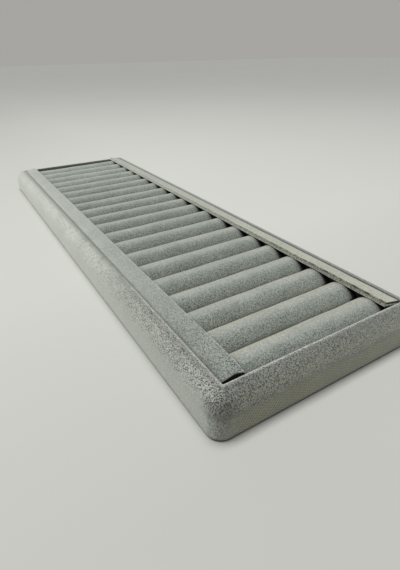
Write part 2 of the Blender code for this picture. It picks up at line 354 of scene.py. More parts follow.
# The side strips: their size flat, their lean, how far they reach out to the rim, and the near end's droop.
# An inner share runs from 0, at the rim, to 1, over the rolls.
STRIP_WIDTH = 0.0091
STRIP_HEIGHT = 0.0024
STRIP_TILT = 0.2094
STRIP_REACH = 0.00028
STRIP_EDGE_RADIUS = 0.0006
STRIP_EDGE_STEPS = 4
STRIP_HEM = 0.0025
STRIP_SLICES = 150
STRIP_LANES = 8
STRIP_LAYERS = 6
STRIP_WAVES = ((0.03, 0.00016, 4.2), (0.008, 0.00005, 9.1))
STRIP_LIP = 0.0003
LIP_HEIGHT = (-0.0001, -0.0005)
LIP_INNER_SHARES = (0.85, 0.95)
LIP_END_START = 0.0008
LIP_END_FULL = 0.0003
DROOP_LENGTH = 0.0058
DROOP_DEPTH = 0.0017
DROOP_REACH = 0.0007
DROOP_INNER_SHARES = (0.60, 1.0)
DROOP_LEAST_SHARE = 0.10

# The marks on both strips. Heights are from the middle of a strip's thickness, and a facing is how far a face
# turns the way that is named.
STRIP_TONE = 1.24
STRIP_SPECK = 0.05
STRIP_NEAR_X = (-0.10, 0.16)
# Painted shade on faces turned outward, at the near ends and the back strip's inner side, and on undersides
OUTWARD_FACING = (0.35, 0.75)
DOWN_FACING = (-0.3, -0.8)
NEAR_FACE_DIM = 0.97

# The marks on the back strip
BACK_STRIP_NEAR_X = (-0.08, 0.15)
BACK_STRIP_FAR_X = (0, -0.15)
# Painted light towards the far end, and painted shade underneath
BACK_STRIP_FAR_GAIN = 0.08
BACK_STRIP_UNDER_DIM = 0.8
BACK_STRIP_HUE = 0.12
BACK_STRIP_BEIGE = 0.18
# Painted shade in the rim line by the crest, and on the inner side face
BACK_LINE_SHARES = (0.10, 0.05)
BACK_LINE_DIM = 0.52
BACK_LINE_NEAR_DIM = 0.34
SIDE_FACE_DIM = 0.14
SIDE_FACE_NEAR_DIM = 0.16
SIDE_LIP_HEIGHT = (-0.0004, -0.0007)
NEAR_LIP_TOP_HEIGHT = (0.0004, 0.0002)
NEAR_LIP_FOOT_HEIGHT = (-0.0004, -0.0001)
EDGE_FACING = (0.12, 0.36)
EDGE_HEIGHT = (0.0003, 0.0006)
EDGE_WAVES = ((0.0022, 1, 2.2), (0.0009, 1, 5.1))
EDGE_WAVES_SPREAD = (-0.30, 0.10)
EDGE_DIM = 0.78
EDGE_SPECK = 0.9

# The marks on the front strip
FRONT_STRIP_FAR_X = (-0.09, -0.16)
# Painted light towards the far end, and painted shade near and underneath
FRONT_STRIP_FAR_GAIN = 0.10
FRONT_STRIP_NEAR_LOSS = 0.36
FRONT_STRIP_UNDER_DIM = 0.7
FRONT_STRIP_HUE = -0.15
FRONT_STRIP_GREEN = 0.45
FRONT_STRIP_SPECK_X = (0.05, 0.16)
FRONT_STRIP_SPECK_GAIN = 0.35
# Painted shade in the rim line by the crest, weaker towards the far end
FRONT_LINE_SHARES = (0.11, 0.06)
FRONT_LINE_X = (0.12, 0.02)
FRONT_LINE_LEAST = 0.5
FRONT_LINE_DIM = 0.60
# A painted highlight on the raised inner edge, and painted light along the outer side, turning to shade near
RAISED_SHARES = (0.93, 0.98)
RAISED_GAIN = 0.35
OUTER_SHARES = (0.6, 0.1)
OUTER_GAIN_X = (0.12, 0.04)
OUTER_GAIN = 0.13
OUTER_LOSS_X = (0.08, 0.15)
OUTER_LOSS = 0.12


def object_from(bm, name):
    """Turn a bmesh into a named, smooth-shaded object."""
    mesh = bpy.data.meshes.new(name)
    bm.to_mesh(mesh)
    bm.free()
    mesh.shade_smooth()
    mesh.set_sharp_from_angle(angle=SHARP_ANGLE)
    item = bpy.data.objects.new(name, mesh)
    bpy.context.scene.collection.objects.link(item)
    return item


def paint(item, velvet, marks_at):
    """Dress a mesh in velvet, with its marks stored at its points. Faces painted into deep shade take the
    shaded copy, with little sheen.
    """
    for finish in velvet:
        item.data.materials.append(finish)
    found = [marks_at(vertex.co, vertex.normal) for vertex in item.data.vertices]
    for name, plain in PLAIN_MARKS.items():
        layer = item.data.attributes.new(name=name, type="FLOAT", domain="POINT")
        layer.data.foreach_set("value", [marks.get(name, plain) for marks in found])
    for face in item.data.polygons:
        tones = [found[corner]["tone"] for corner in face.vertices]
        face.material_index = int(sum(tones) / len(tones) < DEEP_TONE)


def smooth(low, high, value):
    """0 at low, 1 at high, and an even curve between them. Low may be the larger number."""
    share = min(max((value - low) / (high - low), 0), 1)
    return share * share * (3 - 2 * share)


def ripple(place, size, seed):
    """Soft noise about zero whose bumps are about size across."""
    return noise.noise(Vector(place) / size + Vector((seed, seed * SEED_SKEW, -seed)))


def waves(place, layers, seed=0):
    """Layers of ripple laid together. The seed is added to each layer's own."""
    return sum(ripple(place, size, own_seed + seed) * depth for size, depth, own_seed in layers)


def arc(centre, radii, start, end, steps):
    """Points on an elliptical arc, both ends included. Angles are in radians."""
    points = []
    for step in range(steps + 1):
        angle = start + (end - start) * step / steps
        points.append((centre[0] + radii[0] * cos(angle), centre[1] + radii[1] * sin(angle)))
    return points


def line(start, end, steps):
    """Evenly spaced points from start up to, but not including, end."""
    run = (end[0] - start[0], end[1] - start[1])
    return [(start[0] + run[0] * step / steps, start[1] + run[1] * step / steps) for step in range(steps)]


class Nodes:
    """Short calls for building a node material."""

    def __init__(self, name):
        self.material = bpy.data.materials.new(name)
        self.material.use_nodes = True
        self.tree = self.material.node_tree
        self.shader = self.tree.nodes["Principled BSDF"]

    def add(self, kind, **inputs):
        """A node whose named inputs are set to numbers or linked to outputs."""
        node = self.tree.nodes.new(kind)
        for key, value in inputs.items():
            self.feed(node.inputs[key.replace("_", " ")], value)
        return node

    def feed(self, socket, value):
        """Set one input to a number, or link it to an output."""
        if isinstance(value, bpy.types.NodeSocket):
            self.tree.links.new(value, socket)
        else:
            socket.default_value = value

    def math(self, operation, first, second=0.0):
        """The result of one sum."""
        node = self.tree.nodes.new("ShaderNodeMath")
        node.operation = operation
        self.feed(node.inputs[0], first)
        self.feed(node.inputs[1], second)
        return node.outputs[0]

    def product(self, *values):
        """All the values multiplied together."""
        result = values[0]
        for value in values[1:]:
            result = self.math("MULTIPLY", result, value)
        return result

    def darker(self, level, mask, depth):
        """A level lowered by depth where the mask is 1."""
        return self.product(level, self.math("SUBTRACT", 1.0, self.product(mask, depth)))

    def mix(self, share, first, second, blend="MIX"):
        """Mix two colours."""
        node = self.tree.nodes.new("ShaderNodeMix")
        node.data_type = "RGBA"
        node.blend_type = blend
        self.feed(node.inputs["Factor"], share)
        self.feed(node.inputs["A"], first)
        self.feed(node.inputs["B"], second)
        return node.outputs["Result"]

    def place(self, scale=(1, 1, 1), turn=(0, 0, 0)):
        """Object coordinates, turned and then scaled."""
        source = self.tree.nodes.new("ShaderNodeTexCoord").outputs["Object"]
        mapping = self.add("ShaderNodeMapping", Vector=source)
        mapping.inputs["Rotation"].default_value = turn
        mapping.inputs["Scale"].default_value = scale
        return mapping.outputs["Vector"]

    def noise(self, size, detail=2.0, place=None, rough=0.5):
        """Noise from 0 to 1 with features about size across, in metres."""
        node = self.add("ShaderNodeTexNoise", Scale=1 / size, Detail=detail, Roughness=rough)
        self.feed(node.inputs["Vector"], place or self.place())
        return node.outputs["Fac"]

    def stretch(self, value, low, high, to_low=0.0, to_high=1.0):
        """Spread a range of values over another, clamped."""
        node = self.add("ShaderNodeMapRange", Value=value)
        for key, number in (("From Min", low), ("From Max", high), ("To Min", to_low), ("To Max", to_high)):
            node.inputs[key].default_value = number
        return node.outputs["Result"]

    def cells(self, size):
        """A random value from 0 to 1 in each cell of about this size."""
        node = self.add("ShaderNodeTexVoronoi", Scale=1 / size)
        self.feed(node.inputs["Vector"], self.place())
        parts = self.tree.nodes.new("ShaderNodeSeparateColor")
        self.feed(parts.inputs["Color"], node.outputs["Color"])
        return parts.outputs["Red"]

    def stripes(self, across, period, waver):
        """Fine ribs from 0 to 1, square to a direction, a period apart, wavering a little."""
        along = self.tree.nodes.new("ShaderNodeVectorMath")
        along.operation = "DOT_PRODUCT"
        self.feed(along.inputs[0], self.place())
        along.inputs[1].default_value = Vector(across).normalized()
        shift = self.product(self.noise(TWILL_WAVER_SIZE), waver)
        angle = self.product(self.math("ADD", along.outputs["Value"], shift), 2 * pi / period)
        return self.product(self.math("ADD", self.math("SINE", angle), 1.0), 0.5)

    def scaled(self, colour, level):
        """A colour made lighter or darker."""
        node = self.tree.nodes.new("ShaderNodeVectorMath")
        node.operation = "SCALE"
        self.feed(node.inputs[0], colour)
        self.feed(node.inputs["Scale"], level)
        return node.outputs["Vector"]

    def painted(self, name):
        """The number stored on the mesh under a name."""
        node = self.tree.nodes.new("ShaderNodeAttribute")
        node.attribute_name = name
        return node.outputs["Fac"]

    def bump(self, height, strength, distance):
        """Roughen the shader's normal."""
        node = self.add("ShaderNodeBump", Height=height, Strength=strength, Distance=distance)
        self.feed(self.shader.inputs["Normal"], node.outputs["Normal"])


def velvet_material(name, sheen):
    """Grey-green velvet whose pile lights up at a slant, with specks, ribs and brushed marks."""
    nodes = Nodes(name)
    cloud = nodes.stretch(nodes.noise(CLOUD_SIZE, detail=3.0), *CLOUD_SPREAD)
    colour = nodes.mix(cloud, *PILE_COLOURS)
    hue = nodes.painted("hue")
    for full, tint in ((1, BEIGE_TINT), (-1, GREEN_TINT)):
        tinted = nodes.mix(1.0, colour, tint, "MULTIPLY")
        colour = nodes.mix(nodes.stretch(hue, 0, full), colour, tinted)

    speck = nodes.painted("speck")
    dots = nodes.noise(SPECK_SIZE, detail=1.0, rough=SPECK_BREAKUP)
    dots = nodes.stretch(nodes.math("ADD", dots, nodes.product(speck, SPECK_GROWTH)), *SPECK_SPREAD)
    dots = nodes.product(dots, nodes.stretch(speck, *SPECK_ONSET))
    flecks = nodes.noise(FLECK_SIZE, detail=0.0, place=nodes.place(turn=FLECK_TURN))
    flecks = nodes.product(nodes.stretch(flecks, *FLECK_SPREAD), nodes.stretch(speck, *FLECK_ONSET))
    ribs = nodes.stretch(nodes.stripes(TWILL_ACROSS, TWILL_PERIOD, TWILL_WAVER), *TWILL_SPREAD)
    breaks = nodes.stretch(nodes.stripes(TWILL_BREAKS, TWILL_PERIOD, TWILL_WAVER), *TWILL_BREAK_LEVELS)
    ribs = nodes.product(ribs, breaks, nodes.painted("twill"))
    strokes = nodes.noise(STROKE_SIZE, detail=0.0, place=nodes.place(STROKE_SCALE))
    strokes = nodes.product(nodes.stretch(strokes, *STROKE_SPREAD), nodes.painted("stroke"))

    # The painted tone, with the painted shade and light that it carries, sets the level
    level = nodes.product(nodes.painted("tone"), nodes.stretch(nodes.noise(GRAIN_SIZE), *GRAIN_LEVELS))
    level = nodes.product(level, nodes.stretch(nodes.cells(FIBRE_SIZE), *FIBRE_LEVELS))
    level = nodes.product(level, nodes.stretch(nodes.noise(CLUMP_SIZE, detail=1.0), *CLUMP_LEVELS))
    level = nodes.darker(level, dots, SPECK_DEPTH)
    level = nodes.darker(level, flecks, -FLECK_LIFT)
    level = nodes.darker(level, ribs, TWILL_DEPTH)
    level = nodes.darker(level, strokes, STROKE_DEPTH)

    nodes.feed(nodes.shader.inputs["Base Color"], nodes.scaled(colour, level))
    nodes.shader.inputs["Roughness"].default_value = PILE_ROUGHNESS
    nodes.shader.inputs["Specular IOR Level"].default_value = PILE_GLOSS
    nodes.shader.inputs["Sheen Weight"].default_value = sheen
    nodes.shader.inputs["Sheen Roughness"].default_value = SHEEN_ROUGHNESS
    nodes.shader.inputs["Sheen Tint"].default_value = SHEEN_TINT
    small_tufts, large_tufts = (nodes.noise(size) for size in TUFT_SIZES)
    nodes.bump(nodes.math("ADD", small_tufts, large_tufts), TUFT_STRENGTH, PILE_BUMP)
    return nodes.material


def fibre_material(name, pale, dark, fibre, rough, grain_size, bump_depth):
    """A pressed or matted stuff: two tones broken by fine fibres that cross."""
    nodes = Nodes(name)
    blotch = nodes.stretch(nodes.noise(BLOTCH_SIZE, detail=3.0), *BLOTCH_SPREAD)
    along, across = (
        nodes.noise(grain_size, detail=3.0, place=nodes.place(*way), rough=THREAD_BREAKUP)
        for way in THREAD_WAYS
    )
    threads = nodes.product(along, across)
    colour = nodes.mix(blotch, dark, pale)
    colour = nodes.mix(nodes.stretch(threads, *THREAD_SPREAD), colour, fibre)
    gloss = nodes.stretch(threads, *THREAD_GLOSS_SPREAD, rough - THREAD_GLOSS, rough)
    nodes.feed(nodes.shader.inputs["Base Color"], colour)
    nodes.feed(nodes.shader.inputs["Roughness"], gloss)
    nodes.bump(threads, THREAD_STRENGTH, bump_depth)
    return nodes.material


def foam_material():
    """Pale open foam, with a pore in every cell."""
    nodes = Nodes("foam_cells")
    cells = nodes.add("ShaderNodeTexVoronoi", Scale=1 / PORE_SIZE)
    nodes.feed(cells.inputs["Vector"], nodes.place())
    pore = nodes.stretch(cells.outputs["Distance"], *PORE_SPREAD)
    blotch = nodes.stretch(nodes.noise(FOAM_BLOTCH_SIZE), *FOAM_BLOTCH_SPREAD)
    colour = nodes.mix(pore, PORE_COLOUR, nodes.mix(blotch, *FOAM_COLOURS))
    nodes.feed(nodes.shader.inputs["Base Color"], colour)
    nodes.shader.inputs["Roughness"].default_value = FOAM_ROUGHNESS
    nodes.bump(pore, PORE_STRENGTH, PORE_DEPTH)
    return nodes.material


def wood_material():
    """Raw fibreboard, for the frame and the base."""
    return fibre_material("fibreboard_raw", **FIBREBOARD)


def board_material():
    """Grey pressed board, for the card and the strips."""
    return fibre_material("greyboard_raw", **GREYBOARD)


def felt_material():
    """Black felt, for the underside."""
    return fibre_material("felt_mat", **FELT)


def dress_nodes(finishes):
    """Give each carried-over solid its procedural finish."""
    for part in frame["record"]["subparts"]:
        slot = part.get("material_slot")
        if slot in finishes:
            node = frame["nodes"][part["node"]]
            node.data.materials.clear()
            node.data.materials.append(finishes[slot])


def well_stops():
    """Stops round the well. Each has its corner's signs, shared between two along a side, and the way out."""
    corners = ((1, 1), (-1, 1), (-1, -1), (1, -1))
    lengths = well_half_sizes()
    stops = []
    for turn, corner in enumerate(corners):
        before = corners[turn - 1]
        start = turn * pi / 2
        steps = round(2 * lengths[(turn + 1) % 2] / SIDE_STEP)
        for step in range(1, steps):
            share = step / steps
            lean = [a + (b - a) * share for a, b in zip(before, corner)]
            stops.append((*lean, cos(start), sin(start)))
        for step in range(CORNER_STEPS + 1):
            angle = start + pi / 2 * step / CORNER_STEPS
            stops.append((*corner, cos(angle), sin(angle)))
    return stops


def well_half_sizes():
    """Half the distances between the well's corner centres, along X and Y."""
    high = boxes["tray_cover"][1]
    return [side - RIM_WIDTH - WELL_CORNER_RADIUS for side in (high.x, high.y)]


def rim_place(stop, out):
    """The plan place at a stop, a distance out from the well's wall. Corners tighten as in the solids."""
    lean_x, lean_y, out_x, out_y = stop
    half_length, half_width = well_half_sizes()
    shift = out * (1 - CORNER_GROWTH_SHARE)
    reach = WELL_CORNER_RADIUS + out - shift
    return lean_x * (half_length + shift) + out_x * reach, lean_y * (half_width + shift) + out_y * reach


def covering_section():
    """The covering's section as (distance out from the well's wall, height), outer face then inner face."""
    low, high = boxes["tray_cover"]
    card = boxes["insert_card"][0].z
    top, bottom = high.z, low.z
    crest = pi / 2 - CREST_SLOPE
    radius = (RIM_WIDTH - FOLD_RADIUS * 2) / (1 - sin(CREST_SLOPE)) + FOLD_RADIUS
    centre = (RIM_WIDTH - radius, top - FOLD_RADIUS - (radius - FOLD_RADIUS) * cos(CREST_SLOPE))
    fold = (RIM_WIDTH - FOLD_RADIUS, bottom + FOLD_RADIUS)
    ridge = (CREST_RADIUS, top - CREST_RADIUS + CREST_RISE)
    outer = line((RIM_WIDTH - HEM_WIDTH, bottom), (fold[0], bottom), HEM_STEPS)
    outer += arc(fold, (FOLD_RADIUS, FOLD_RADIUS), -pi / 2, 0, FOLD_STEPS)
    outer += line((RIM_WIDTH, fold[1]), (RIM_WIDTH, centre[1]), WALL_STEPS)[1:]
    outer += arc(centre, (radius, radius), 0, crest, ROUND_STEPS)
    outer += arc(ridge, (CREST_RADIUS, CREST_RADIUS), crest, pi, CREST_STEPS)
    outer += line((0, ridge[1]), (0, card), LINING_STEPS)[1:]
    outer += [(0, card)]
    inner = [(VELVET, card), (VELVET, top - 2 * CREST_RADIUS)]
    inner += arc(centre, (radius - VELVET, radius - VELVET), crest, 0, INNER_STEPS)
    inner += [(RIM_WIDTH - VELVET, fold[1]), (fold[0], bottom + VELVET)]
    inner += [(RIM_WIDTH - HEM_WIDTH, bottom + VELVET)]
    return outer + inner


def build_covering(velvet):
    """The tray's velvet covering, with a crisp crest and the slight unevenness of wrapped cloth."""
    section = covering_section()
    bm = bmesh.new()
    rings = []
    for stop in well_stops():
        rings.append([bm.verts.new((*rim_place(stop, out), height)) for out, height in section])
    for index, ring in enumerate(rings):
        after = rings[(index + 1) % len(rings)]
        for step in range(len(section)):
            following = (step + 1) % len(section)
            bm.faces.new((ring[step], after[step], after[following], ring[following]))
    bmesh.ops.recalc_face_normals(bm, faces=bm.faces)
    bm.normal_update()
    for vertex in bm.verts:
        lift = smooth(*COVERING_WAVE_HEIGHT, vertex.co.z)
        wave = waves(vertex.co, COVERING_WAVES)
        vertex.co += Vector((vertex.normal.x, vertex.normal.y, vertex.normal.z / 2)) * wave * lift
    item = object_from(bm, "tray_velvet")
    paint(item, velvet, covering_marks)
    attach(item, "tray")
    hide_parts("tray_cover")


def covering_marks(place, _facing):
    """The marks on the tray: specked ends with bare ribs below, and painted light and shade, with pale sides,
    a light crest line, and the lining of the well painted dark as shade.
    """
    high = boxes["tray_cover"][1]
    beyond_x = abs(place.x) - (high.x - RIM_WIDTH)
    beyond_y = abs(place.y) - (high.y - RIM_WIDTH)
    out = max(beyond_x, beyond_y)
    depth = high.z - place.z
    height = place.z + waves(place, BAND_WAVES)
    end = smooth(*END_OVER_SIDE, beyond_x - beyond_y)
    far_end = end * (place.x < 0)
    side = 1 - end
    front = side * (place.y < 0)
    back = side * (place.y > 0)
    corner = smooth(*CORNER_BEYOND, min(beyond_x, beyond_y))
    near = smooth(*NEAR_X, place.x)
    nearest = smooth(*NEAREST_X, place.x)
    upper = smooth(*UPPER_HEIGHT, height)
    shoulder = smooth(*SHOULDER_HEIGHT, height)
    ridge = smooth(*RIDGE_HEIGHT, place.z)
    crest = smooth(*CREST_DEPTH, depth) * smooth(*CREST_OUT, out)
    lining = smooth(*LINING_OUT, out) * smooth(*LINING_DEPTH, depth)
    patch = corner * near * smooth(*PATCH_FOOT_HEIGHT, height) * smooth(*PATCH_TOP_HEIGHT, place.z)

    # Painted shade and sheen: the sides lighter than the ends and darker near, the ends darker towards the
    # back
    tone = side * (SIDE_TONE - SIDE_NEAR_LOSS * near + SIDE_SHOULDER_GAIN * near * shoulder)
    tone += end * (END_TONE - END_UPPER_LOSS * upper) * (1 - END_DIM * smooth(*END_DIM_Y, place.y))
    # A painted highlight along the front side's shoulder, and painted shade low on it and under its near
    # crest
    glow = smooth(*GLOW_FOOT_HEIGHT, place.z) * smooth(*GLOW_TOP_HEIGHT, place.z)
    glow *= GLOW + FAR_GLOW * smooth(*GLOW_X, place.x)
    front_dim = FRONT_LOW_DIM * smooth(*FRONT_LOW_HEIGHT, place.z)
    front_dim += FRONT_TOP_DIM * smooth(*FRONT_TOP_HEIGHT, place.z) * nearest
    tone *= (1 + front * glow) * (1 - front * front_dim)
    # The crest painted as a light line, lighter on the ends and the front's near end, darker further along
    # the front
    crest_tone = end * END_CREST_TONE + side * (SIDE_CREST_TONE + SIDE_CREST_GAIN * nearest)
    tone += (crest_tone - tone) * crest * (1 - back)
    # Painted shade on the back side's crest and rim, by the back strip
    back_dim = BACK_CREST_DIM * crest + (BACK_DIM + BACK_NEAR_DIM * near) * smooth(*BACK_DIM_OUT, out)
    tone *= 1 - back * back_dim
    # Painted shade down the well's inner walls, deepest at the far end and towards its front
    lining_dim = LINING_DIM + far_end * (FAR_LINING_DIM - FAR_LINING_EASE * smooth(*FAR_LINING_Y, place.y))
    tone *= 1 - lining * lining_dim
    # A painted contact shadow at the foot of the covering
    tone *= 1 - smooth(*FOOT_HEIGHT, place.z) * (FOOT_DIM + END_FOOT_DIM * end)
    tone *= 1 - patch * PATCH_DIM

    hue = end * (1 - UPPER_GREEN * upper - RIDGE_GREEN * ridge) * (1 - CORNER_GREEN * corner * near)
    hue += SIDE_HUE * side - BACK_GREEN * back * shoulder
    speck = side * (SIDE_SPECK + SPECK_GAIN * shoulder * smooth(*SIDE_SPECK_X, place.x))
    speck += end * (END_SPECK + SPECK_GAIN * upper) + CORNER_SPECK * corner * near
    return {
        "tone": tone,
        "hue": hue * (1 - crest) * (1 - lining) - LINING_GREEN * lining,
        "speck": speck * (1 - CREST_SPECK_DIM * crest),
        "twill": end * smooth(*RIBS_HEIGHT, height) * (1 - corner),
        "stroke": side * shoulder * smooth(*STROKE_FAR_X, place.x) * smooth(*STROKE_NEAR_X, place.x),
    }


def roll_bounds():
    """Each roll's middle and edges at the back and the front end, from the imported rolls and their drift."""
    covers = [boxes[f"roll_cover_{index + 1:02d}"] for index in range(len(BACK_DRIFT_MM))]
    middles = [(low.x + high.x) / 2 for low, high in covers]
    ends = []
    for drift in (BACK_DRIFT_MM, FRONT_DRIFT_MM):
        moved = [middle + shift * MILLIMETRE for middle, shift in zip(middles, drift)]
        edges = [covers[0][0].x - FIT_GAP / 2 + max(0, moved[0] - middles[0])]
        edges += [(a + b) / 2 for a, b in zip(moved, moved[1:])]
        edges.append(covers[-1][1].x + FIT_GAP / 2)
        gapped = [(left + ROLL_GAP, right - ROLL_GAP) for left, right in zip(edges, edges[1:])]
        ends.append([(middle, *pair) for middle, pair in zip(moved, gapped)])
    return ends


def roll_across(index, ends, y):
    """A roll's middle, left and right edges along X, at a place across the tray."""
    half = boxes[f"roll_cover_{index + 1:02d}"][1].y
    share = (y + half) / (2 * half)
    return [front + (back - front) * share for back, front in zip(ends[0][index], ends[1][index])]


def roll_rows(index, ends, inset, seed):
    """Rings of points along a roll, each from its right foot over the top to its left foot."""
    low, high = boxes[f"roll_cover_{index + 1:02d}"]
    strip_edge = boxes["back_strip_cover"][0].y
    rows = []
    for station in range(ROLL_STATIONS + 1):
        y = -high.y * cos(pi * station / ROLL_STATIONS)
        middle, left, right = roll_across(index, ends, y)
        under = min(max(0, (abs(y) - strip_edge) / (high.y - strip_edge)), 1)
        height_share = 1 - (1 - ROLL_END_HEIGHT_SHARE) * (1 - (1 - under ** 2) ** 0.5)
        width_share = 1 - (1 - ROLL_END_WIDTH_SHARE) * under ** 2
        height = (high.z - low.z + ROLL_TOP_LIFT) * height_share - inset
        belly = min(ROLL_BELLY, height / 2)
        row = []
        for side, reach in ((1, (right - middle) * width_share), (-1, (middle - left) * width_share)):
            foot = reach * ROLL_FOOT_SHARE
            full = reach - inset
            points = arc((foot, belly), (full - foot, belly), -pi / 2, 0, ROLL_FOOT_STEPS)[:-1]
            points += arc((0, belly), (full, height - belly), 0, pi / 2, ROLL_AROUND // 2)
            if side < 0:
                points = [(-x, z) for x, z in reversed(points)][1:]
            row += [Vector((middle + x, y, low.z + z)) for x, z in points]
        for point in row:
            lift = smooth(low.z + ROLL_WAVES_FOOT, low.z + ROLL_WAVES_FULL, point.z)
            point.z += waves(point, ROLL_WAVES, seed) * lift
        rows.append(row)
    return rows


def grid(bm, rows):
    """Lay faces over rows of points."""
    made = [[bm.verts.new(point) for point in row] for row in rows]
    for first, second in zip(made, made[1:]):
        for step in range(len(first) - 1):
            bm.faces.new((first[step], second[step], second[step + 1], first[step + 1]))
    return made


def settled_shifts(rows):
    """How far a sleeve's points move as its skin settles as cloth, held along its feet and round its ends."""
    bm = bmesh.new()
    grid(bm, [[point * SLACK_SCALE for point in row] for row in rows])
    item = object_from(bm, "settling_sleeve")
    around = len(rows[0])
    count = len(item.data.vertices)
    edges = [index for index in range(count) if index % around in (0, around - 1)]
    edges += list(range(around)) + list(range(count - around, count))
    item.vertex_groups.new(name="held").add(edges, 1.0, "REPLACE")
    cloth = item.modifiers.new("cloth", "CLOTH")
    cloth.settings.vertex_group_mass = "held"
    cloth.settings.use_pressure = True
    cloth.settings.uniform_pressure_force = SLACK_PRESSURE
    cloth.settings.shrink_min = SLACK_SHRINK
    cloth.settings.shrink_max = SLACK_SHRINK
    cloth.settings.effector_weights.gravity = 0
    cloth.point_cache.frame_end = SLACK_FRAMES
    for number in range(1, SLACK_FRAMES + 1):
        bpy.context.scene.frame_set(number)
    settled = item.evaluated_get(bpy.context.evaluated_depsgraph_get()).data.vertices
    shifts = []
    for station, row in enumerate(rows):
        moved = [settled[station * around + step].co / SLACK_SCALE - point for step, point in enumerate(row)]
        shifts.append([Vector(capped(shift * SLACK_SHARE)) for shift in moved])
    bpy.data.objects.remove(item)
    bpy.context.scene.frame_set(1)
    return shifts


def capped(shift):
    """A shift held within the slack's caps."""
    return [min(max(part, -cap), cap) for part, cap in zip(shift, SLACK_CAPS)]


def build_sleeve(index, ends, seed, velvet):
    """A roll's velvet sleeve, open underneath."""
    outer = roll_rows(index, ends, 0, seed)
    shifts = settled_shifts(outer)
    layers = []
    bm = bmesh.new()
    for rows in (outer, roll_rows(index, ends, VELVET, seed)):
        moved = [[point + shift for point, shift in zip(*pair)] for pair in zip(rows, shifts)]
        layers.append(grid(bm, moved))
    skin, lining = layers
    for step in range(ROLL_STATIONS):
        for edge in (0, -1):
            bm.faces.new((skin[step][edge], lining[step][edge], lining[step + 1][edge], skin[step + 1][edge]))
    for step in range(len(skin[0]) - 1):
        for end in (0, -1):
            bm.faces.new((skin[end][step], skin[end][step + 1], lining[end][step + 1], lining[end][step]))
    bmesh.ops.recalc_face_normals(bm, faces=bm.faces)
    sleeve = object_from(bm, f"roll_velvet_{index + 1:02d}")
    paint(sleeve, velvet, partial(roll_marks, index, ends))
    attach(sleeve, "insert")
    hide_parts(f"roll_cover_{index + 1:02d}")


def roll_marks(index, ends, place, _facing):
    """A roll's painted shade and light: darker and greener on its near half, lighter on the far rolls, and
    nearly black in the grooves and the tucks.
    """
    middle, left, right = roll_across(index, ends, place.y)
    turned = 2 * (place.x - middle) / (right - left)
    past = abs(place.y) - boxes["back_strip_cover"][0].y
    top = boxes[f"roll_cover_{index + 1:02d}"][1].z + ROLL_TOP_LIFT
    near_half = smooth(*NEAR_HALF_TURNED, turned)
    middling = smooth(*MIDDLE_FAR_X, place.x) * smooth(*MIDDLE_NEAR_X, place.x)
    away = smooth(*ROLL_AWAY_X, place.x)
    tucked = smooth(*TUCK_PAST, past) * (1 - TUCK_EASE * smooth(*TUCK_EASE_PAST, past))
    start, full = (top - drop + rise * away for drop, rise in zip(GROOVE_DROPS, GROOVE_AWAY_RISES))
    groove = smooth(start, full, place.z) * smooth(*GROOVE_PAST, past)
    if index == 0 and turned < 0 or index == len(BACK_DRIFT_MM) - 1 and turned > 0:
        groove *= END_GROOVE_SHARE
    # Painted shade on the near half and painted light on the far rolls
    tone = ROLL_TONE - (NEAR_HALF_LOSS + MIDDLE_LOSS * middling) * near_half
    tone += FAR_ROLL_GAIN * smooth(*ROLL_FAR_X, place.x)
    return {
        # Painted shade where the roll tucks under a strip and down in its grooves
        "tone": tone * (1 - TUCK_DIM * tucked) * (1 - GROOVE_DIM * groove),
        # Painted light in the hue: beige on the lit top and far half, greener on the shaded near half
        "hue": ROLL_BEIGE * smooth(*BEIGE_TURNED, turned) - ROLL_GREEN * smooth(*GREEN_TURNED, turned),
        "speck": ROLL_SPECK + NEAR_HALF_SPECK * near_half,
    }


def build_core(index, ends, seed, foam):
    """A roll's foam core, inside its sleeve."""
    bm = bmesh.new()
    body = grid(bm, roll_rows(index, ends, VELVET + FIT_GAP, seed))
    for row in (body[0], body[-1]):
        bm.faces.new(row)
    for first, second in zip(body, body[1:]):
        bm.faces.new((first[-1], second[-1], second[0], first[0]))
    bmesh.ops.recalc_face_normals(bm, faces=bm.faces)
    core = object_from(bm, f"roll_foam_{index + 1:02d}")
    core.data.materials.append(foam)
    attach(core, "insert")
    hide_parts(f"roll_core_{index + 1:02d}")


def strip_shell(length, width, inset, name):
    """A side strip's outer form, flat and about the origin: a box, sliced finely, with its edges rounded."""
    bm = bmesh.new()
    bmesh.ops.create_cube(bm, size=1)
    bmesh.ops.scale(bm, vec=(length - 2 * inset, width - 2 * inset, STRIP_HEIGHT - 2 * inset), verts=bm.verts)
    if inset == 0:
        under = min(bm.faces, key=lambda face: face.calc_center_median().z)
        bmesh.ops.inset_individual(bm, faces=[under], thickness=STRIP_HEM, use_even_offset=True)
        bmesh.ops.delete(bm, geom=[under], context="FACES")
    rough = object_from(bm, f"{name}_rough")
    if inset == 0:
        rounding = rough.modifiers.new("rounding", "BEVEL")
        rounding.width = STRIP_EDGE_RADIUS
        rounding.segments = STRIP_EDGE_STEPS
        rounding.limit_method = "ANGLE"
        shell = rough.modifiers.new("thickness", "SOLIDIFY")
        shell.thickness = VELVET
        shell.offset = -1
        shell.use_even_offset = True
    bpy.context.view_layer.update()
    mesh = bpy.data.meshes.new_from_object(rough.evaluated_get(bpy.context.evaluated_depsgraph_get()))
    bpy.data.objects.remove(rough)
    bm = bmesh.new()
    bm.from_mesh(mesh)
    bpy.data.meshes.remove(mesh)
    slice_across(bm, Vector((length, 0, 0)), STRIP_SLICES)
    slice_across(bm, Vector((0, width, 0)), STRIP_LANES)
    slice_across(bm, Vector((0, 0, STRIP_HEIGHT)), STRIP_LAYERS)
    return bm


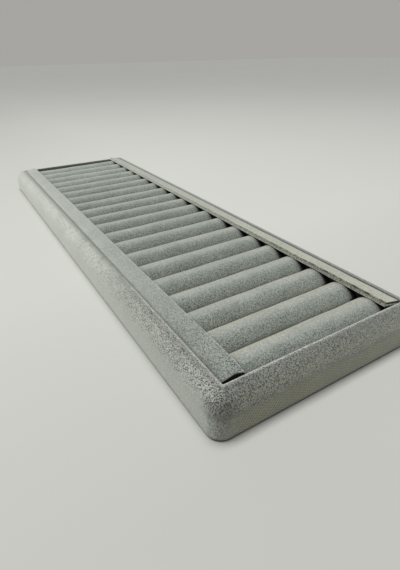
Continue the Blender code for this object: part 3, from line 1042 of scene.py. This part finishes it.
def slice_across(bm, run, count):
    """Cut a mesh that is centred on the origin into even slices along a run."""
    for cut in range(1, count):
        everything = bm.verts[:] + bm.edges[:] + bm.faces[:]
        place = run * (cut / count - 0.5)
        bmesh.ops.bisect_plane(bm, geom=everything, plane_co=place, plane_no=run.normalized())


def shape_strip(bm, side, length, width):
    """Give a flat strip its unevenness, its lower lip along the rolls and at the near end, and its droop."""
    for vertex in bm.verts:
        place = vertex.co.copy()
        inner_share = 0.5 - side * place.y / width
        vertex.co.z += waves((place.x, place.y, side), STRIP_WAVES, side)
        if side > 0:
            lip = STRIP_LIP * smooth(*LIP_HEIGHT, place.z)
            vertex.co.y -= side * lip * smooth(*LIP_INNER_SHARES, inner_share)
            vertex.co.x += lip * smooth(length / 2 - LIP_END_START, length / 2 - LIP_END_FULL, place.x)
        else:
            bent = max(0, 1 - (length / 2 - place.x) / DROOP_LENGTH) ** 2
            corner = smooth(*DROOP_INNER_SHARES, inner_share)
            vertex.co.z -= DROOP_DEPTH * bent * (DROOP_LEAST_SHARE + (1 - DROOP_LEAST_SHARE) * corner)
            vertex.co.x += DROOP_REACH * bent * corner


def build_strip(name, side, velvet, board):
    """A side strip: velvet round a stiff board, open underneath, leaning on the ends of the rolls."""
    low, high = boxes[f"{name}_cover"]
    length = high.x - low.x
    width = STRIP_WIDTH + STRIP_REACH
    middle = (low + high) / 2 + Vector((0, side * STRIP_REACH / 2, 0))
    placed = Matrix.Translation(middle) @ Matrix.Rotation(-side * STRIP_TILT, 4, "X")
    back = placed.inverted()
    strip_marks = back_strip_marks if side > 0 else front_strip_marks
    made = []
    for inset, part in ((0, "velvet"), (VELVET + FIT_GAP, "board")):
        bm = strip_shell(length, width, inset, name)
        shape_strip(bm, side, length, width)
        bmesh.ops.transform(bm, matrix=placed, verts=bm.verts)
        item = object_from(bm, f"{name}_{part}_piece")
        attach(item, "insert")
        made.append(item)

    def marks(place, facing):
        spot = back @ place
        inner_share = 0.5 - side * spot.y / width
        return strip_marks(place.x, spot, back.to_3x3() @ facing, inner_share)

    cover, card = made
    paint(cover, velvet, marks)
    card.data.materials.append(board)
    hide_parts(f"{name}_cover")
    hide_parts(f"{name}_board")


def back_strip_marks(along, spot, facing, inner_share):
    """The back strip's marks: painted shade on its near end, its rim line, its inner side and underneath,
    painted light towards its far end, and a broken dark line over the rolls.
    """
    near = smooth(*BACK_STRIP_NEAR_X, along)
    side_face = smooth(*OUTWARD_FACING, -facing.y) * (1 - smooth(*SIDE_LIP_HEIGHT, spot.z))
    near_lip = smooth(*NEAR_LIP_TOP_HEIGHT, spot.z) * smooth(*NEAR_LIP_FOOT_HEIGHT, spot.z)
    near_face = smooth(*OUTWARD_FACING, facing.x) * (spot.x > 0) * (1 - near_lip)
    edge = smooth(*EDGE_FACING, -facing.y) * smooth(*EDGE_HEIGHT, spot.z) * near
    edge *= smooth(*EDGE_WAVES_SPREAD, waves((spot.x, 0, 0), EDGE_WAVES))
    side_dim = (SIDE_FACE_DIM + SIDE_FACE_NEAR_DIM * near) * side_face
    line_dim = (BACK_LINE_DIM + BACK_LINE_NEAR_DIM * near) * smooth(*BACK_LINE_SHARES, inner_share)
    tone = STRIP_TONE + BACK_STRIP_FAR_GAIN * smooth(*BACK_STRIP_FAR_X, along)
    tone *= 1 - max(side_dim, EDGE_DIM * edge, NEAR_FACE_DIM * near_face)
    return {
        "tone": tone * (1 - BACK_STRIP_UNDER_DIM * smooth(*DOWN_FACING, facing.z)) * (1 - line_dim),
        "hue": BACK_STRIP_HUE + BACK_STRIP_BEIGE * smooth(*STRIP_NEAR_X, along),
        "speck": STRIP_SPECK + EDGE_SPECK * max(near * side_face, edge),
    }


def front_strip_marks(along, spot, facing, inner_share):
    """The front strip's marks: greener near, painted shade that makes it darker near, underneath, at its near
    end and in a dark rim line, and painted light on its raised edge, its far end and along its outer side,
    which turns to shade at the near end.
    """
    near = smooth(*STRIP_NEAR_X, along)
    near_face = smooth(*OUTWARD_FACING, facing.x) * (spot.x > 0)
    rim_line = FRONT_LINE_LEAST + (1 - FRONT_LINE_LEAST) * smooth(*FRONT_LINE_X, along)
    rim_line *= smooth(*FRONT_LINE_SHARES, inner_share)
    outer_gain = OUTER_GAIN * smooth(*OUTER_GAIN_X, along) - OUTER_LOSS * smooth(*OUTER_LOSS_X, along)
    tone = STRIP_TONE - FRONT_STRIP_NEAR_LOSS * near + RAISED_GAIN * smooth(*RAISED_SHARES, inner_share)
    tone += FRONT_STRIP_FAR_GAIN * smooth(*FRONT_STRIP_FAR_X, along)
    tone += outer_gain * smooth(*OUTER_SHARES, inner_share)
    tone *= (1 - NEAR_FACE_DIM * near_face) * (1 - FRONT_LINE_DIM * rim_line)
    return {
        "tone": tone * (1 - FRONT_STRIP_UNDER_DIM * smooth(*DOWN_FACING, facing.z)),
        "hue": FRONT_STRIP_HUE - FRONT_STRIP_GREEN * near,
        "speck": STRIP_SPECK + FRONT_STRIP_SPECK_GAIN * smooth(*FRONT_STRIP_SPECK_X, along),
    }


def build_floor():
    """A pale floor, with painted shade darkening it towards the near end and painted light towards the back.
    """
    bpy.ops.mesh.primitive_plane_add(size=FLOOR_SIZE)
    floor = bpy.context.object
    floor.name = "floor"
    nodes = Nodes("floor_paint")
    along = nodes.tree.nodes.new("ShaderNodeSeparateXYZ")
    nodes.feed(along.inputs["Vector"], nodes.place())
    fade = nodes.stretch(along.outputs["X"], *FLOOR_FADE_ALONG)
    fade = nodes.product(fade, nodes.stretch(along.outputs["Y"], *FLOOR_FADE_ACROSS))
    colour = nodes.mix(nodes.noise(FLOOR_CLOUD_SIZE), *FLOOR_COLOURS)
    nodes.feed(nodes.shader.inputs["Base Color"], nodes.scaled(colour, fade))
    nodes.shader.inputs["Roughness"].default_value = FLOOR_ROUGHNESS
    floor.data.materials.append(nodes.material)


def add_light(name, kind, place=(0, 0, 0), turn=(0, 0, 0)):
    """A lamp of a kind, linked into the scene."""
    lamp = bpy.data.lights.new(name, kind)
    item = bpy.data.objects.new(name, lamp)
    item.location = place
    item.rotation_euler = turn
    bpy.context.scene.collection.objects.link(item)
    return lamp


def build_lights():
    """Soft overhead light and an even surround, with a backdrop tone for the camera, gloss and glass."""
    lamp = add_light("overhead", "AREA", LAMP_PLACE)
    lamp.shape = "RECTANGLE"
    lamp.size, lamp.size_y = LAMP_SIZE
    lamp.energy = LAMP_POWER
    lamp.color = LAMP_COLOUR
    sun = add_light("sky", "SUN", turn=(SUN_LEAN, 0, 0))
    sun.energy = SUN_STRENGTH
    sun.angle = SUN_SPREAD
    sun.color = LAMP_COLOUR
    world = bpy.data.worlds.new("surround")
    world.use_nodes = True
    tree = world.node_tree
    light = tree.nodes["Background"]
    light.inputs["Color"].default_value = SURROUND_COLOUR
    light.inputs["Strength"].default_value = SURROUND_STRENGTH
    backdrop = tree.nodes.new("ShaderNodeBackground")
    backdrop.inputs["Color"].default_value = BACKGROUND_COLOUR
    rays = tree.nodes.new("ShaderNodeLightPath")
    shows = rays.outputs["Is Camera Ray"]
    for kind in ("Is Glossy Ray", "Is Transmission Ray"):
        either = tree.nodes.new("ShaderNodeMath")
        either.operation = "MAXIMUM"
        tree.links.new(shows, either.inputs[0])
        tree.links.new(rays.outputs[kind], either.inputs[1])
        shows = either.outputs[0]
    seen = tree.nodes.new("ShaderNodeMixShader")
    tree.links.new(shows, seen.inputs["Fac"])
    tree.links.new(light.outputs["Background"], seen.inputs[1])
    tree.links.new(backdrop.outputs["Background"], seen.inputs[2])
    tree.links.new(seen.outputs["Shader"], tree.nodes["World Output"].inputs["Surface"])
    bpy.context.scene.world = world


def build_camera():
    """The camera at the photograph's viewing angle."""
    data = bpy.data.cameras.new("camera")
    data.sensor_width = SENSOR_SIZE
    data.lens = FOCAL_PIXELS * SENSOR_SIZE / PHOTO_HEIGHT_PIXELS
    data.clip_start = CLIP_START
    camera = bpy.data.objects.new("camera", data)
    turn = Matrix.Rotation(CAMERA_TURN, 4, "Z") @ Matrix.Rotation(CAMERA_TILT, 4, "X")
    camera.matrix_world = Matrix.Translation(CAMERA_PLACE) @ turn @ Matrix.Rotation(CAMERA_ROLL, 4, "Z")
    bpy.context.scene.collection.objects.link(camera)
    bpy.context.scene.camera = camera


def main():
    """Dress the tray and set the stage."""
    build_camera()
    build_lights()
    build_floor()
    board = board_material()
    dress_nodes({"fibreboard": wood_material(), "greyboard": board, "felt": felt_material()})
    # A lit and a shaded copy of the velvet; faces painted into deep shade take the shaded one
    velvet = (velvet_material("velvet_pile", PILE_SHEEN), velvet_material("velvet_shaded", DEEP_SHEEN))
    foam = foam_material()
    build_covering(velvet)
    ends = roll_bounds()
    for index in range(len(BACK_DRIFT_MM)):
        seed = FIRST_ROLL_SEED + ROLL_SEED_STEP * index
        build_sleeve(index, ends, seed, velvet)
        build_core(index, ends, seed, foam)
    build_strip("front_strip", -1, velvet, board)
    build_strip("back_strip", 1, velvet, board)
    bpy.context.scene.view_settings.view_transform = "Standard"


main()
